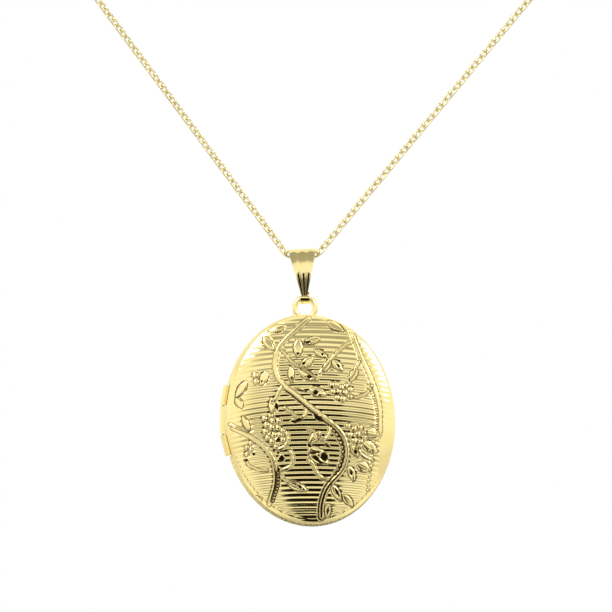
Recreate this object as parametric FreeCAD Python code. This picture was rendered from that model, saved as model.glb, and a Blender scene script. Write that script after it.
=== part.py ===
"""Oval photo locket hanging from a cable-link necklace chain.

Frame, in millimetres: +Z up, +X to the wearer's left as the front is looked at, front towards -Y.
The origin is the middle of the chain where it runs through the bail.
"""

import FreeCAD, Part
import math
import os

Vector = FreeCAD.Vector

# ---- driving dimensions, mm and degrees -------------------------------------------------

# Locket halves. Each oval is (centre x, centre z, half width, half height).
BACK_OVAL = (1.39, -31.60, 16.50, 20.40)
FRONT_OVAL = (1.64, -31.35, 16.20, 20.10)
OVAL_TILT = 3.9            # the long axis leans to -X at the top
PARTING_Y = -0.60          # plane where the two halves meet
HALF_GAP = 0.04            # each half stops this far short of the parting plane
FRONT_BAND = 0.90          # height of the straight side wall, front half
BACK_BAND = 1.30           # the same, back half
HALF_DEPTH = 3.60          # parting plane to the top of the dome
RIM_WALL = 0.60
FRONT_DOME_WALL = 0.40
BACK_DOME_WALL = 0.55
DOME_POWER = 2.2           # the dome's section is depth * (1 - r**power)**shoulder
DOME_SHOULDER = 0.62

# Liner pan, photo frame, window and card. Depths are measured from the parting plane.
LINER_CLEARANCE = 0.03
PAN_OPENING = 0.740        # share of the oval
PAN_WALL = 0.015
FLANGE = (0.75, 0.95)
PAN_FLOOR = (1.65, 1.85)
FRAME_SHARE = (0.680, 0.737)
FRAME_DEPTH = (0.60, 1.05)
WINDOW_SHARE = 0.735
WINDOW_DEPTH = (1.07, 1.37)
CARD_DEPTH = (1.38, 1.63)

# Catch band: a C-shaped lip on the back half that the front rim closes over.
BAND_CLEARANCE = 0.12
BAND_WALL = 0.35
BAND_REACH = 0.62
BAND_OPEN_X = -9.0         # the lip is left off nearer the hinge than this
BEAD_STAND = 0.07
BEAD_RADIUS = 0.25
BEAD_LENGTH = 2.0

# Hinge: three knuckles that follow the oval, on a pin with two slight bends.
HINGE_X = -15.14
HINGE_TOP = (-24.80, 0.69)       # z, and how far the knuckle's axis has moved to +X
HINGE_UPPER_JOINT_Z = -28.75
HINGE_LOWER_JOINT_Z = -34.30
HINGE_BOTTOM = (-38.37, 1.06)
KNUCKLE_RADIUS = 0.625
KNUCKLE_GAP = 0.16
PIN_RADIUS = 0.25
FREE_BORE = 0.30
FIXED_BORE = 0.26
BORE_RUN_OUT = 1.0         # the bore is drilled this far past both ends
NOTCH_GAP = 0.20           # between a knuckle and the rim beside it
LEAF = (0.10, 0.60)        # from the parting plane
HINGE_WALL = 0.60
BEARER = (0.04, 0.92)

# Top ring, bail and eyelet.
RING_CENTRE = (0.60, -10.00)
RING_MEAN_RADIUS = 1.945
RING_WIRE = 0.545
RING_SEAT = (-2.0, 2.0)    # depths between which the back rim cuts into the ring
BAIL_CENTRE_X = 0.08
BAIL_TILT = 3.0            # the foot leans to +X
BAIL_ARCH = 1.55
BAIL_SHEET = 0.30
BAIL_CUT_PAST = 1.0        # reach of the inside cut past the strip
BAIL_FOOT_Z = -7.63
BAIL_FOOT_HALF_DEPTH = 1.00
BAIL_OUTLINE = (           # height and half width
    (1.60, 2.64),
    (0.00, 2.42),
    (-0.96, 2.17),
    (-3.37, 1.57),
    (-4.80, 1.25),
    (-6.15, 0.90),
    (-7.63, 0.60),
)
EYELET_OUTER = 1.15
EYELET_INNER = 0.80
EYELET_WIDTH = 1.60
EYELET_CUT_WIDTH = 3.20    # the bail is hollowed this far along the eyelet

# Chain of oval links, each turned a quarter turn to the next.
LINK_PITCH = 1.327
LINK_WIRE = 0.21
LINK_MEAN_RADIUS = 0.62
LINK_SLACK = 0.05
LINK_ROLL = 45.0           # every link shows half open from the front
BAIL_LINKS = 3
LEFT_ANGLE = 53.46         # rise of each strand above the horizontal
RIGHT_ANGLE = 50.28
LEFT_LINKS = 47
RIGHT_LINKS = 49

# Chain ends: jump rings, a spring-ring clasp and an end tag.
JUMP_MEAN_RADIUS = 1.165
JUMP_WIRE = 0.20
JUMP_SEAT = 0.33           # its near side hangs this far inside the last link
EYE_MEAN_RADIUS = 0.80
EYE_WIRE = 0.25
EYE_PLAY = 0.03            # between the eye and the jump ring
CLASP_RADIUS = 2.10
CLASP_TUBE = 0.65
CLASP_BORE = 0.42
CLASP_BOLT = 0.36
CLASP_TUBE_ARC = (30.0, 338.0)
CLASP_BOLT_ARC = (-30.0, 62.0)
CLASP_TRIGGER_ANGLE = 56.0
CLASP_TRIGGER_HALF = 0.16
CLASP_TRIGGER_REACH = 1.55
CLASP_PAD_RADIUS = 0.384
CLASP_SLOT_ARC = (50.0, 120.0)
CLASP_SLOT_HALF = 0.21
CLASP_SPRING_ARC = (66.0, 150.0)
CLASP_SPRING_SECTION = (0.24, 0.38)
CLASP_STOP_ARC = (150.5, 154.0)
TAG_THICKNESS = 0.60
TAG_SMALL = (0.90, 0.45)   # outer radius and hole radius
TAG_LARGE = (1.75, 1.15)
TAG_LENGTH = 2.60          # hole to hole
TAG_SEAT = 0.18

# ---- derived values ---------------------------------------------------------------------

FRONT = -1
BACK = 1
X_AXIS = Vector(1, 0, 0)
Y_AXIS = Vector(0, 1, 0)
FAR = 40.0                 # reach of a cutting block past the locket
RING_TOP_Z = RING_CENTRE[1] + RING_MEAN_RADIUS


def depth_to_y(side, depth):
    """Turn a depth from the parting plane into a y on the given half."""
    return PARTING_Y + side * depth


# ---- shared shapes ----------------------------------------------------------------------

def oval_axes():
    tilt = math.radians(OVAL_TILT)
    long_way = Vector(-math.sin(tilt), 0, math.cos(tilt))
    short_way = Vector(math.cos(tilt), 0, math.sin(tilt))
    return long_way, short_way


def oval_block(oval, share, side, depths):
    """A solid slice of the oval, scaled to a share of its size, between two depths."""
    long_way, short_way = oval_axes()
    low, high = sorted(depth_to_y(side, depth) for depth in depths)
    centre = Vector(oval[0], low, oval[1])
    outline = Part.Ellipse(
        centre + long_way * (oval[3] * share),
        centre + short_way * (oval[2] * share),
        centre,
    )
    face = Part.Face(Part.Wire([outline.toShape()]))
    return face.extrude(Y_AXIS * (high - low))


def dome_curve(half_width, side, band, depth):
    """Section of a dome from its apex on the Y axis out to the top of the side wall."""
    steps = 9
    points = []
    for step in range(steps + 1):
        share = math.sin(math.radians(90.0 * step / steps))
        lift = (1.0 - share ** DOME_POWER) ** DOME_SHOULDER
        points.append(Vector(half_width * share, side * (band + (depth - band) * lift), 0))
    curve = Part.BSplineCurve()
    curve.interpolate(Points=points, InitialTangent=Vector(1, 0, 0), FinalTangent=Vector(0, -side, 0))
    return curve, points[0], points[-1]


def pressed_dome(oval, side, band, dome_wall):
    """A round dome shell with a straight rim, stretched to the oval and set in place."""
    outer, outer_top, outer_rim = dome_curve(oval[2], side, band, HALF_DEPTH)
    inner, inner_top, inner_rim = dome_curve(oval[2] - RIM_WALL, side, band, HALF_DEPTH - dome_wall)
    outer_lip = Vector(outer_rim.x, side * HALF_GAP, 0)
    inner_lip = Vector(inner_rim.x, side * HALF_GAP, 0)
    edges = [
        outer.toShape(),
        Part.makeLine(outer_rim, outer_lip),
        Part.makeLine(outer_lip, inner_lip),
        Part.makeLine(inner_lip, inner_rim),
        inner.toShape(),
        Part.makeLine(inner_top, outer_top),
    ]
    section = Part.Face(Part.Wire(Part.__sortEdges__(edges)))
    round_shell = section.revolve(Vector(0, 0, 0), Y_AXIS, 360)
    long_way, short_way = oval_axes()
    stretch = oval[3] / oval[2]
    to_oval = FreeCAD.Matrix(
        short_way.x, 0, long_way.x * stretch, oval[0],
        0, 1, 0, PARTING_Y,
        short_way.z, 0, long_way.z * stretch, oval[1],
        0, 0, 0, 1,
    )
    return solid_of(round_shell.transformGeometry(to_oval))


def solid_of(shape):
    """Give a single positive solid from a shape that holds one."""
    solid = shape if shape.ShapeType == "Solid" else shape.Solids[0]
    if solid.Volume < 0:
        solid.reverse()
    return solid


def hinge_line():
    """The knuckles' shared centreline, top to bottom, as (x, z)."""
    return [
        (HINGE_X + HINGE_TOP[1], HINGE_TOP[0]),
        (HINGE_X, HINGE_UPPER_JOINT_Z),
        (HINGE_X, HINGE_LOWER_JOINT_Z),
        (HINGE_X + HINGE_BOTTOM[1], HINGE_BOTTOM[0]),
    ]


def hinge_block(past):
    """Everything to the -X side of the hinge notch, with its edge moved in by past."""
    inset = KNUCKLE_RADIUS + NOTCH_GAP + past
    edge = [(x + inset, z) for x, z in hinge_line()]
    top = edge[0][1] + NOTCH_GAP + past
    bottom = edge[-1][1] - NOTCH_GAP - past
    points = [(-FAR, top), (edge[0][0], top), *edge, (edge[-1][0], bottom), (-FAR, bottom)]
    return prism_along_y(points, -FAR, FAR)


def prism_along_y(points, low, high):
    corners = [Vector(x, low, z) for x, z in points]
    face = Part.Face(Part.makePolygon([*corners, corners[0]]))
    return face.extrude(Y_AXIS * (high - low))


def ring(centre, normal, mean_radius, wire_radius):
    return Part.makeTorus(mean_radius, wire_radius, centre, normal)


# ---- locket halves ----------------------------------------------------------------------

def half_shell(oval, side, band, dome_wall):
    """One pressed half, notched for the hinge."""
    return solid_of(pressed_dome(oval, side, band, dome_wall).cut(hinge_block(0.0)))


def inner_rim_share(oval):
    """Share of the oval that just clears the inside of its rim."""
    return (oval[2] - RIM_WALL - LINER_CLEARANCE) / oval[2]


def hinge_bearer(oval, side):
    """The strip inside the notch that closes the half and carries the knuckles."""
    inset = KNUCKLE_RADIUS + NOTCH_GAP
    edge = [(x + inset, z) for x, z in hinge_line()]
    inner = [(x + HINGE_WALL, z) for x, z in reversed(edge)]
    low, high = sorted(depth_to_y(side, depth) for depth in BEARER)
    strip = prism_along_y([*edge, *inner], low, high)
    return solid_of(strip.common(oval_block(oval, inner_rim_share(oval), side, BEARER)))


def back_cover():
    return half_shell(BACK_OVAL, BACK, BACK_BAND, BACK_DOME_WALL)


def front_cover():
    return half_shell(FRONT_OVAL, FRONT, FRONT_BAND, FRONT_DOME_WALL)


def liner(oval, side):
    """A pressed pan inside a half: flange, short wall and floor."""
    pan = PAN_OPENING + PAN_WALL
    flange = oval_block(oval, inner_rim_share(oval), side, FLANGE)
    tub = oval_block(oval, pan, side, (FLANGE[0], PAN_FLOOR[1]))
    room = oval_block(oval, PAN_OPENING, side, (0.0, PAN_FLOOR[0]))
    pressed = flange.fuse(tub).cut(room).removeSplitter()
    return solid_of(pressed.cut(hinge_block(HINGE_WALL + LINER_CLEARANCE)))


def photo_frame(oval, side):
    outer = oval_block(oval, FRAME_SHARE[1], side, FRAME_DEPTH)
    return outer.cut(oval_block(oval, FRAME_SHARE[0], side, FRAME_DEPTH))


def photo_window(oval, side):
    return oval_block(oval, WINDOW_SHARE, side, WINDOW_DEPTH)


def photo_card(oval, side):
    return oval_block(oval, WINDOW_SHARE, side, CARD_DEPTH)


def catch_band():
    """The C-shaped lip, with a small bead where the front rim snaps past it."""
    width = FRONT_OVAL[2]
    outer_share = (width - RIM_WALL - BAND_CLEARANCE) / width
    inner_share = outer_share - BAND_WALL / width
    reach = (-FLANGE[0], BAND_REACH)
    lip = oval_block(FRONT_OVAL, outer_share, FRONT, reach)
    lip = lip.cut(oval_block(FRONT_OVAL, inner_share, FRONT, reach))
    open_side = [(-FAR, FAR), (BAND_OPEN_X, FAR), (BAND_OPEN_X, -2 * FAR), (-FAR, -2 * FAR)]
    short_way = oval_axes()[1]
    seat = Vector(FRONT_OVAL[0], depth_to_y(FRONT, BAND_REACH / 2), FRONT_OVAL[1])
    outward = outer_share * width + BEAD_STAND - BEAD_RADIUS
    bead_foot = seat + short_way * outward - oval_axes()[0] * (BEAD_LENGTH / 2)
    bead = Part.makeCylinder(BEAD_RADIUS, BEAD_LENGTH, bead_foot, oval_axes()[0])
    return solid_of(lip.cut(prism_along_y(open_side, -FAR, FAR)).fuse(bead))


# ---- hinge ------------------------------------------------------------------------------

def knuckle(first, second, bore, side):
    """A tube between two hinge points, with the leaf that carries it."""
    start = Vector(first[0], PARTING_Y, first[1])
    end = Vector(second[0], PARTING_Y, second[1])
    run = end - start
    length = run.Length
    run.normalize()
    inset = KNUCKLE_RADIUS + NOTCH_GAP
    leaf_points = [
        (first[0], first[1]),
        (second[0], second[1]),
        (second[0] + inset, second[1]),
        (first[0] + inset, first[1]),
    ]
    low, high = sorted(depth_to_y(side, depth) for depth in LEAF)
    tube = Part.makeCylinder(KNUCKLE_RADIUS, length, start, run)
    leaf = prism_along_y(leaf_points, low, high)
    hole = Part.makeCylinder(bore, length + 2 * BORE_RUN_OUT, start - run * BORE_RUN_OUT, run)
    return solid_of(tube.fuse(leaf).removeSplitter().cut(hole))


def shortened(first, second, at_first, at_second):
    """Pull the ends of a stretch in, so that neighbouring knuckles keep their gap."""
    dx = second[0] - first[0]
    dz = second[1] - first[1]
    length = math.hypot(dx, dz)
    start = (first[0] + dx * at_first / length, first[1] + dz * at_first / length)
    end = (second[0] - dx * at_second / length, second[1] - dz * at_second / length)
    return start, end


def upper_knuckle():
    top, joint = hinge_line()[0:2]
    return knuckle(*shortened(top, joint, 0.0, KNUCKLE_GAP / 2), FIXED_BORE, BACK)


def middle_knuckle():
    upper, lower = hinge_line()[1:3]
    return knuckle(*shortened(upper, lower, KNUCKLE_GAP / 2, KNUCKLE_GAP / 2), FREE_BORE, FRONT)


def lower_knuckle():
    joint, bottom = hinge_line()[2:4]
    return knuckle(*shortened(joint, bottom, KNUCKLE_GAP / 2, 0.0), FIXED_BORE, BACK)


def hinge_pin():
    """One wire in three straight runs, rounded where it turns between knuckles."""
    corners = [Vector(x, PARTING_Y, z) for x, z in hinge_line()]
    pin = None
    for start, end in zip(corners, corners[1:]):
        run = Part.makeCylinder(PIN_RADIUS, (end - start).Length, start, end - start)
        pin = run if pin is None else pin.fuse(run)
    for bend in corners[1:3]:
        pin = pin.fuse(Part.makeSphere(PIN_RADIUS, bend))
    return solid_of(pin)


# ---- top ring and bail ------------------------------------------------------------------

def top_ring():
    """A round wire ring whose foot is let into the back half's rim and soldered there."""
    centre = Vector(RING_CENTRE[0], 0, RING_CENTRE[1])
    whole = ring(centre, Y_AXIS, RING_MEAN_RADIUS, RING_WIRE)
    seat = oval_block(BACK_OVAL, 1.0, BACK, RING_SEAT)
    return solid_of(whole.cut(seat))


def teardrop(arch, foot_z, foot_half_depth, half_width):
    """The bail's side section: an arch over the chain with two straight legs to the foot."""
    reach = math.hypot(foot_half_depth, foot_z)
    turn = math.acos(arch / reach) - math.atan2(-foot_z, foot_half_depth)
    tangent_y = arch * math.cos(turn)
    tangent_z = arch * math.sin(turn)
    start = Vector(-half_width, tangent_y, tangent_z)
    crown = Vector(-half_width, 0, arch)
    end = Vector(-half_width, -tangent_y, tangent_z)
    foot_front = Vector(-half_width, -foot_half_depth, foot_z)
    foot_back = Vector(-half_width, foot_half_depth, foot_z)
    edges = [
        Part.Arc(start, crown, end).toShape(),
        Part.makeLine(end, foot_front),
        Part.makeLine(foot_front, foot_back),
        Part.makeLine(foot_back, start),
    ]
    return Part.Face(Part.Wire(edges)).extrude(X_AXIS * (2 * half_width))


def eyelet_cylinder(radius, width):
    start = Vector(RING_CENTRE[0] - width / 2, 0, RING_TOP_Z)
    return Part.makeCylinder(radius, width, start, X_AXIS)


def bail_shell():
    """A tapered strip folded over the chain, both tips resting on the eyelet."""
    reach = 2 * BAIL_OUTLINE[0][1]
    outer = teardrop(BAIL_ARCH, BAIL_FOOT_Z, BAIL_FOOT_HALF_DEPTH, reach)
    inner = teardrop(
        BAIL_ARCH - BAIL_SHEET,
        BAIL_FOOT_Z,
        BAIL_FOOT_HALF_DEPTH - BAIL_SHEET,
        reach + BAIL_CUT_PAST,
    )
    right = [(half, z) for z, half in BAIL_OUTLINE]
    left = [(-half, z) for z, half in reversed(BAIL_OUTLINE)]
    strip = outer.cut(inner).common(prism_along_y(right + left, -FAR, FAR))
    strip.rotate(Vector(0, 0, 0), Y_AXIS, -BAIL_TILT)
    strip.translate(X_AXIS * BAIL_CENTRE_X)
    return solid_of(strip.cut(eyelet_cylinder(EYELET_OUTER, EYELET_CUT_WIDTH)))


def bail_eyelet():
    outer = eyelet_cylinder(EYELET_OUTER, EYELET_WIDTH)
    return outer.cut(eyelet_cylinder(EYELET_INNER, EYELET_WIDTH))


# ---- chain ------------------------------------------------------------------------------

def link_at_origin():
    """One oval link in the XZ plane, its long way along X."""
    straight = LINK_PITCH + LINK_SLACK + 2 * LINK_WIRE - 2 * LINK_MEAN_RADIUS
    pieces = []
    for end in (1, -1):
        section_centre = Vector(end * straight / 2, 0, LINK_MEAN_RADIUS)
        section = Part.Circle(section_centre, X_AXIS, LINK_WIRE).toShape()
        face = Part.Face(Part.Wire([section]))
        pivot = Vector(end * straight / 2, 0, 0)
        pieces.append(face.revolve(pivot, Y_AXIS, 180 * end))
        foot = Vector(-straight / 2, 0, end * LINK_MEAN_RADIUS)
        pieces.append(Part.makeCylinder(LINK_WIRE, straight, foot, X_AXIS))
    return solid_of(pieces[0].multiFuse(pieces[1:]))


def link_row(start, heading_list, first_index, way):
    """Links laid end to end from start; way is 1 towards +X and -1 towards -X.

    Gives the links and the point where the last one ends.
    """
    pattern = link_at_origin()
    links = []
    point = start
    for offset, heading in enumerate(heading_list):
        angle = math.radians(heading)
        direction = Vector(way * math.cos(angle), 0, math.sin(angle))
        middle = point + direction * (LINK_PITCH / 2)
        link = pattern.copy()
        quarter_turn = 90 if (first_index + offset) % 2 == 0 else 0
        link.rotate(Vector(0, 0, 0), X_AXIS, quarter_turn - LINK_ROLL)
        link.rotate(Vector(0, 0, 0), Y_AXIS, -way * heading)
        link.translate(middle)
        links.append(link)
        point = point + direction * LINK_PITCH
    return links, point


def strand_direction(angle, way):
    rise = math.radians(angle)
    return Vector(way * math.cos(rise), 0, math.sin(rise))


def bail_run_end(way):
    return Vector(way * LINK_PITCH * BAIL_LINKS / 2, 0, 0)


def chain_bail_links():
    links = link_row(bail_run_end(-1), [0.0] * BAIL_LINKS, 1, 1)[0]
    return Part.makeCompound(links)


def strand(angle, count, way):
    """The first link takes half the turn from the bail run into the strand."""
    headings = [angle / 2] + [angle] * count
    links, end = link_row(bail_run_end(way), headings, 0, way)
    return Part.makeCompound(links), end


# ---- chain ends -------------------------------------------------------------------------

def jump_ring(end, direction):
    """A ring through the last link, square to it."""
    centre = end + direction * (JUMP_MEAN_RADIUS - JUMP_SEAT)
    return ring(centre, direction.cross(Y_AXIS), JUMP_MEAN_RADIUS, JUMP_WIRE)


def clasp_places(end, direction):
    """Centres of the clasp's eye and of its tube ring."""
    inside_jump = 2 * JUMP_MEAN_RADIUS - JUMP_SEAT - JUMP_WIRE
    eye = end + direction * (inside_jump - EYE_WIRE - EYE_PLAY + EYE_MEAN_RADIUS)
    centre = eye + direction * (EYE_MEAN_RADIUS + CLASP_TUBE + CLASP_RADIUS + EYE_WIRE / 2)
    return eye, centre


def clasp_arc(centre, section_face, arc):
    """Sweep a section, drawn on the clasp's far side, round the clasp's centre."""
    piece = section_face.copy()
    piece.rotate(centre, Y_AXIS, -arc[0])
    return solid_of(piece.revolve(centre, -Y_AXIS, arc[1] - arc[0]))


def clasp_section(centre, direction, outer, inner=0.0):
    """A round or ring-shaped section of the clasp's tube."""
    middle = centre + direction * CLASP_RADIUS
    normal = direction.cross(Y_AXIS)
    face = Part.Face(Part.Wire([Part.Circle(middle, normal, outer).toShape()]))
    if inner:
        face = face.cut(Part.Face(Part.Wire([Part.Circle(middle, normal, inner).toShape()])))
    return face


def clasp_outer_block(centre, direction, half_width, reach):
    """A flat section from the tube's middle outwards, for the trigger and its slot."""
    start = centre + direction * CLASP_RADIUS
    corners = [
        start - Y_AXIS * half_width,
        start - Y_AXIS * half_width + direction * reach,
        start + Y_AXIS * half_width + direction * reach,
        start + Y_AXIS * half_width,
    ]
    return Part.Face(Part.makePolygon([*corners, corners[0]]))


def clasp_tube(centre, direction):
    section = clasp_section(centre, direction, CLASP_TUBE, CLASP_BORE)
    tube = clasp_arc(centre, section.Faces[0], CLASP_TUBE_ARC)
    slot_section = clasp_outer_block(centre, direction, CLASP_SLOT_HALF, 2 * CLASP_TUBE)
    slot = clasp_arc(centre, slot_section, CLASP_SLOT_ARC)
    stop_section = clasp_section(centre, direction, (CLASP_TUBE + CLASP_BORE) / 2)
    stop = clasp_arc(centre, stop_section, CLASP_STOP_ARC)
    return solid_of(tube.cut(slot).fuse(stop))


def clasp_bolt(centre, direction):
    section = clasp_section(centre, direction, CLASP_BOLT)
    bolt = clasp_arc(centre, section, CLASP_BOLT_ARC)
    socket = clasp_trigger_pin(centre, direction)
    return solid_of(bolt.cut(socket))


def clasp_trigger_pin(centre, direction):
    """The trigger: a short post with a round thumb pad."""
    outward = FreeCAD.Rotation(Y_AXIS, -CLASP_TRIGGER_ANGLE).multVec(direction)
    foot = centre + outward * CLASP_RADIUS
    post = Part.makeCylinder(CLASP_TRIGGER_HALF, CLASP_TRIGGER_REACH, foot, outward)
    pad = Part.makeSphere(CLASP_PAD_RADIUS, foot + outward * CLASP_TRIGGER_REACH)
    return solid_of(post.fuse(pad))


def clasp_spring(centre, direction):
    inner, outer = CLASP_SPRING_SECTION
    section = clasp_section(centre, direction, outer, inner)
    return clasp_arc(centre, section.Faces[0], CLASP_SPRING_ARC)


def clasp_eye(eye_centre, clasp_centre):
    whole = ring(eye_centre, Y_AXIS, EYE_MEAN_RADIUS, EYE_WIRE)
    body = ring(clasp_centre, Y_AXIS, CLASP_RADIUS, CLASP_TUBE)
    return solid_of(whole.cut(body))


def end_tag(end, direction):
    """A flat pear-shaped tag: a small hole for the jump ring, a large one for the clasp."""
    wire_centre = end + direction * (2 * JUMP_MEAN_RADIUS - JUMP_SEAT)
    small = wire_centre + direction * TAG_SEAT
    large = small + direction * TAG_LENGTH
    back = Y_AXIS * (-TAG_THICKNESS / 2)
    across = direction.cross(Y_AXIS)
    lean = math.asin((TAG_LARGE[0] - TAG_SMALL[0]) / TAG_LENGTH)
    edges = []
    for side in (1, -1):
        normal = across * (side * math.cos(lean)) - direction * math.sin(lean)
        edges.append((small + normal * TAG_SMALL[0], large + normal * TAG_LARGE[0]))
    corners = [edges[0][0] + back, edges[0][1] + back, edges[1][1] + back, edges[1][0] + back]
    body = Part.Face(Part.makePolygon([*corners, corners[0]])).extrude(Y_AXIS * TAG_THICKNESS)
    for place, size in ((small, TAG_SMALL), (large, TAG_LARGE)):
        body = body.fuse(Part.makeCylinder(size[0], TAG_THICKNESS, place + back, Y_AXIS))
    for place, size in ((small, TAG_SMALL), (large, TAG_LARGE)):
        body = body.cut(Part.makeCylinder(size[1], TAG_THICKNESS, place + back, Y_AXIS))
    return solid_of(body.removeSplitter())


# ---- the assembly -----------------------------------------------------------------------

def build():
    left_links, left_end = strand(LEFT_ANGLE, LEFT_LINKS, -1)
    right_links, right_end = strand(RIGHT_ANGLE, RIGHT_LINKS, 1)
    left_way = strand_direction(LEFT_ANGLE, -1)
    right_way = strand_direction(RIGHT_ANGLE, 1)
    eye_centre, clasp_centre = clasp_places(left_end, left_way)
    return {
        "back_cover": back_cover(),
        "back_liner": liner(BACK_OVAL, BACK),
        "back_photo_frame": photo_frame(BACK_OVAL, BACK),
        "back_window": photo_window(BACK_OVAL, BACK),
        "back_photo_card": photo_card(BACK_OVAL, BACK),
        "catch_band": catch_band(),
        "back_hinge_bearer": hinge_bearer(BACK_OVAL, BACK),
        "top_ring": top_ring(),
        "upper_knuckle": upper_knuckle(),
        "lower_knuckle": lower_knuckle(),
        "hinge_pin": hinge_pin(),
        "front_cover": front_cover(),
        "front_liner": liner(FRONT_OVAL, FRONT),
        "front_photo_frame": photo_frame(FRONT_OVAL, FRONT),
        "front_window": photo_window(FRONT_OVAL, FRONT),
        "front_photo_card": photo_card(FRONT_OVAL, FRONT),
        "front_hinge_bearer": hinge_bearer(FRONT_OVAL, FRONT),
        "middle_knuckle": middle_knuckle(),
        "bail_shell": bail_shell(),
        "bail_eyelet": bail_eyelet(),
        "chain_bail_links": chain_bail_links(),
        "chain_left_strand": left_links,
        "chain_right_strand": right_links,
        "clasp_jump_ring": jump_ring(left_end, left_way),
        "clasp_eye": clasp_eye(eye_centre, clasp_centre),
        "clasp_tube": clasp_tube(clasp_centre, left_way),
        "clasp_bolt": clasp_bolt(clasp_centre, left_way),
        "clasp_trigger": clasp_trigger_pin(clasp_centre, left_way),
        "clasp_spring": clasp_spring(clasp_centre, left_way),
        "end_jump_ring": jump_ring(right_end, right_way),
        "end_tag": end_tag(right_end, right_way),
    }


os.makedirs("parts", exist_ok=True)
for name, shape in build().items():
    shape.exportStep(f"parts/{name}.step")
    print(name, shape.isValid(), len(shape.Solids), round(shape.Volume, 3), shape.BoundBox)
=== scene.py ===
"""Visual model of the oval photo locket on its chain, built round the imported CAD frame."""
import math

import bpy
import numpy as np
from mathutils import Matrix, Vector


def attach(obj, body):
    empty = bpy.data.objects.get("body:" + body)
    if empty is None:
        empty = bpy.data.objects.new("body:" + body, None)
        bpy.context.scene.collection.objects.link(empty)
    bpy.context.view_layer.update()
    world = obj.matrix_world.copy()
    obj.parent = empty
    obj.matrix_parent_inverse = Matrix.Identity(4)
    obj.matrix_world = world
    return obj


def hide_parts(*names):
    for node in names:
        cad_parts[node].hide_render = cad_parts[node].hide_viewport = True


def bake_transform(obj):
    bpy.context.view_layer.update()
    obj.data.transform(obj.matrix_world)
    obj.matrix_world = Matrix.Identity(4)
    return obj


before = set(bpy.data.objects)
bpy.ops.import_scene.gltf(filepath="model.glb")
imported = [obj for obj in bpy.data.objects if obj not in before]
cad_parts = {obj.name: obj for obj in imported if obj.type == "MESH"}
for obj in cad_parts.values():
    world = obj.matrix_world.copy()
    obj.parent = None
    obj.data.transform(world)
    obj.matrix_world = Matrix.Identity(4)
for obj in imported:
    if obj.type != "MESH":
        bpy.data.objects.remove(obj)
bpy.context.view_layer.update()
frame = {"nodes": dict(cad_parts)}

# ---- places and sizes, millimetres and degrees, as in the CAD ----------------------------

MM = 0.001                     # Blender works in metres

VIEW_CENTRE = (0.777, -9.615)  # x and z of the middle of the picture
VIEW_WIDTH = 117.69            # seen across the picture at the chain's plane
LENS = 200.0
SENSOR = 36.0
CLIP_NEAR, CLIP_FAR = 0.01, 10.0   # metres

FRONT = -1
BACK = 1
PARTING_Y = -0.60
HALF_GAP = 0.04
HALF_DEPTH = 3.60
DOME_POWER = 2.2
DOME_SHOULDER = 0.62
OVAL_TILT = math.radians(3.9)
RIM_WALL = 0.60
FRONT_OVAL = (1.64, -31.35, 16.20, 20.10)   # centre x, centre z, half width, half height
FRONT_BAND = 0.90
FRONT_DOME_WALL = 0.40
BACK_OVAL = (1.39, -31.60, 16.50, 20.40)
BACK_BAND = 1.30
BACK_DOME_WALL = 0.55
NOTCH_EDGE = ((-38.57, -13.255), (-34.30, -14.315), (-28.75, -14.315), (-24.60, -13.625))  # z, x
NOTCH_FADE = 2.0               # how far in from the hinge the surface makes room for the notch
INNER_RINGS = (1.0, 0.96, 0.80, 0.50)       # shares of the inner skin's width where it has a ring of points
BACK_CELLS = 150
FRONT_CELLS = 300

LINK_PITCH = 1.327
LINK_WIRE = 0.21
LINK_MEAN_RADIUS = 0.62
LINK_STRAIGHT = 0.557
LINK_ROLL = math.radians(45.0)
BAIL_LINKS = 3
LEFT_ANGLE = 53.46
RIGHT_ANGLE = 50.28
LEFT_LINKS = 47
RIGHT_LINKS = 49
LINK_STEPS = 28                # round the oval
LINK_SIDES = 10                # round the wire
ROUTE_ORDER = 3
ROUTE_STEPS = 16
# Each strand's route, x and z: bail, corner, a point up the run, last link.
LEFT_ROUTE = ((-1.99, 0.0), (-2.73, 0.0), (-7.51, 6.44), (-40.31, 50.71))
RIGHT_ROUTE = ((1.99, 0.0), (2.73, 0.0), (7.85, 6.15), (44.74, 50.58))
LEFT_FITTINGS = ("clasp_jump_ring", "clasp_eye", "clasp_tube", "clasp_bolt", "clasp_trigger")
RIGHT_FITTINGS = ("end_jump_ring", "end_tag")

BAIL_CENTRE_X = 0.08
BAIL_TILT = math.radians(3.0)
BAIL_ARCH = 1.55
BAIL_SHEET = 0.30
BAIL_FOOT_Z = -7.63
BAIL_LEAN = (                  # height, and the degrees by which the leg's face looks up there
    (0.48, 18.0), (-0.9, 10.0), (-1.6, 4.0), (-3.2, -2.0), (-4.6, -9.0), (-5.6, -12.5), (-7.63, -13.0),
)
BAIL_OUTLINE = (               # height and half width
    (1.60, 2.64), (0.00, 2.42), (-0.96, 2.17), (-3.37, 1.57), (-4.80, 1.25), (-6.15, 0.90), (-7.63, 0.60),
)
BAIL_LEG_STEPS = 44
BAIL_ARCH_STEPS = 36
BAIL_COLUMNS = 60
FLUTES = 3
FLUTE_SHARE = 0.036            # depth of a flute as a share of the bail's half width
FLUTE_TOP = 0.95               # height where a flute starts, in its middle
FLUTE_BOW = 0.40               # how much lower it starts at its sides
FLUTE_RUN_IN = 0.35

CLASP_CENTRE = (-43.8785, 55.5233)
CLASP_RADIUS = 2.10
CLASP_SPRING_ARC = (66.0, 150.0)
SPRING_RADIUS = 0.31           # middle of the coil's wire from the tube's centreline
SPRING_WIRE = 0.055
SPRING_TURNS = 8
SPRING_STEPS = 16              # in each turn
SPRING_SIDES = 6               # round the wire
SPRING_STEP_AHEAD = 0.001      # share of its length over which the coil's direction is taken

# ---- the studio the metal reflects ----------------------------------------------------------

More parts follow.
